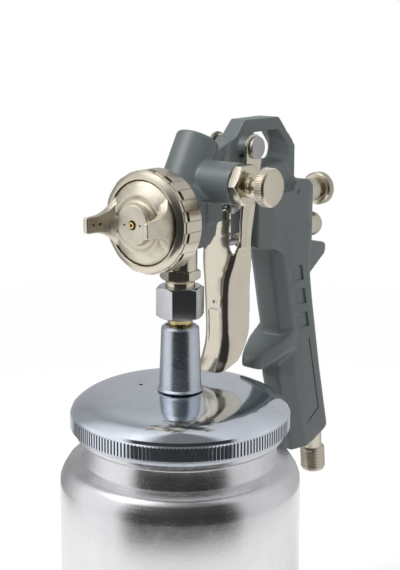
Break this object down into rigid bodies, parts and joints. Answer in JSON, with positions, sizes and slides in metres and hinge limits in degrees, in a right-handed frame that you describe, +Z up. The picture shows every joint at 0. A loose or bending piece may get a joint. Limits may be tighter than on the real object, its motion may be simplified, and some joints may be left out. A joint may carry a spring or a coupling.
{
  "type": "hvlp spray gun",
  "caption": "Suction-feed paint spray gun with a two-finger trigger, hanging hook, horned air cap and a screwed metal cup underneath.",
  "frame": {"origin": "centre of the underside of the cup's base, where the gun stands", "axes": "+Z up the cup's axis, the gun sprays towards -Y, +X is the user's left, where the pattern knob is"},
  "size_m": [0.11, 0.1737, 0.266],
  "materials": {
    "body_paint": "satin grey paint on cast aluminium",
    "nickel_blasted": "nickel plated brass, fine blasted",
    "nickel": "nickel plated brass, semi bright",
    "trigger_nickel": "nickel plated steel",
    "brass": "plain machined brass",
    "steel": "plain ground steel",
    "zinc_steel": "bright zinc plated steel",
    "packing": "white PTFE",
    "rubber_black": "matt black rubber",
    "plain_aluminium": "plain turned aluminium",
    "polished_aluminium": "mirror polished aluminium",
    "cup_aluminium": "bright spun aluminium"
  },
  "bodies": {
    "gun": {"gun_body": "body_paint", "fluid_nozzle": "brass", "air_baffle": "plain_aluminium", "needle_packing": "packing", "needle_packing_nut": "nickel", "needle_spring": "steel", "fluid_sleeve": "nickel", "pattern_valve_body": "nickel", "trigger_pin": "steel", "trigger_clip": "steel", "air_valve_gland": "nickel", "air_valve_seat": "packing", "air_valve_spring": "steel", "air_valve_cap": "nickel", "fluid_connector": "nickel", "air_nipple": "nickel"},
    "cap": {"air_cap": "nickel_blasted"},
    "ring": {"air_cap_ring": "nickel"},
    "trigger": {"trigger": "trigger_nickel"},
    "needle": {"fluid_needle": "steel"},
    "valve": {"air_valve_stem": "steel"},
    "pattern_slider": {"pattern_seal": "rubber_black"},
    "pattern_screw": {"pattern_spindle": "nickel", "pattern_knob": "nickel"},
    "fluid_slider": {"fluid_spring_pad": "steel"},
    "fluid_screw": {"fluid_knob": "nickel"},
    "swivel": {"swivel_nut": "zinc_steel"},
    "lid": {"cup_lid": "polished_aluminium", "lid_stem": "polished_aluminium", "stem_ferrule": "brass", "pickup_tube": "plain_aluminium"},
    "gasket": {"lid_gasket": "packing"},
    "cup": {"cup": "cup_aluminium"}
  },
  "joints": [
    {"name": "trigger_pull", "type": "hinge", "parent": "gun", "child": "trigger", "pos_m": [0, 0.0402, 0.2537], "axis": [1, 0, 0], "range_deg": [0, 12], "stiffness_Nm_per_rad": 2, "springref_deg": -11.46},
    {"name": "needle_travel", "type": "slide", "parent": "gun", "child": "needle", "axis": [0, 1, 0], "range_m": [0, 0.0065], "deforming": ["needle_spring"]},
    {"name": "air_valve_travel", "type": "slide", "parent": "gun", "child": "valve", "axis": [0, 1, 0], "range_m": [0, 0.0105], "deforming": ["air_valve_spring"]},
    {"name": "air_cap_turn", "type": "hinge", "parent": "gun", "child": "cap", "pos_m": [0, -0.02, 0.226], "axis": [0, -1, 0], "continuous": true},
    {"name": "cap_ring_turn", "type": "hinge", "parent": "gun", "child": "ring", "pos_m": [0, -0.018, 0.226], "axis": [0, -1, 0], "range_deg": [0, 90]},
    {"name": "pattern_travel", "type": "slide", "parent": "gun", "child": "pattern_slider", "axis": [-1, 0, 0], "range_m": [0, 0.003]},
    {"name": "pattern_knob_turn", "type": "hinge", "parent": "pattern_slider", "child": "pattern_screw", "pos_m": [0, 0.0079, 0.2415], "axis": [-1, 0, 0], "range_deg": [0, 1085]},
    {"name": "fluid_travel", "type": "slide", "parent": "gun", "child": "fluid_slider", "axis": [0, 1, 0], "range_m": [0, 0.00187]},
    {"name": "fluid_knob_turn", "type": "hinge", "parent": "fluid_slider", "child": "fluid_screw", "pos_m": [0, 0.11, 0.226], "axis": [0, 1, 0], "range_deg": [0, 545]},
    {"name": "swivel_nut_turn", "type": "hinge", "parent": "gun", "child": "swivel", "pos_m": [0, 0, 0.188], "axis": [0, 0, -1], "range_deg": [0, 180]},
    {"name": "cup_swivel", "type": "hinge", "parent": "gun", "child": "lid", "pos_m": [0, 0, 0.176], "axis": [0, 0, 1], "continuous": true},
    {"name": "cup_unscrew", "type": "hinge", "parent": "lid", "child": "gasket", "pos_m": [0, 0, 0.13], "axis": [0, 0, -1], "range_deg": [0, 365]},
    {"name": "cup_lower", "type": "slide", "parent": "gasket", "child": "cup", "axis": [0, 0, -1], "range_m": [0, 0.004]}
  ],
  "couplings": [
    {"joint": "needle_travel", "follows": "trigger_pull", "m_per_rad": 0.0285},
    {"joint": "air_valve_travel", "follows": "trigger_pull", "m_per_rad": 0.047},
    {"joint": "pattern_knob_turn", "follows": "pattern_travel", "rad_per_m": 6283.2},
    {"joint": "fluid_knob_turn", "follows": "fluid_travel", "rad_per_m": 5026.5},
    {"joint": "cup_unscrew", "follows": "cup_lower", "rad_per_m": 1570.8}
  ]
}
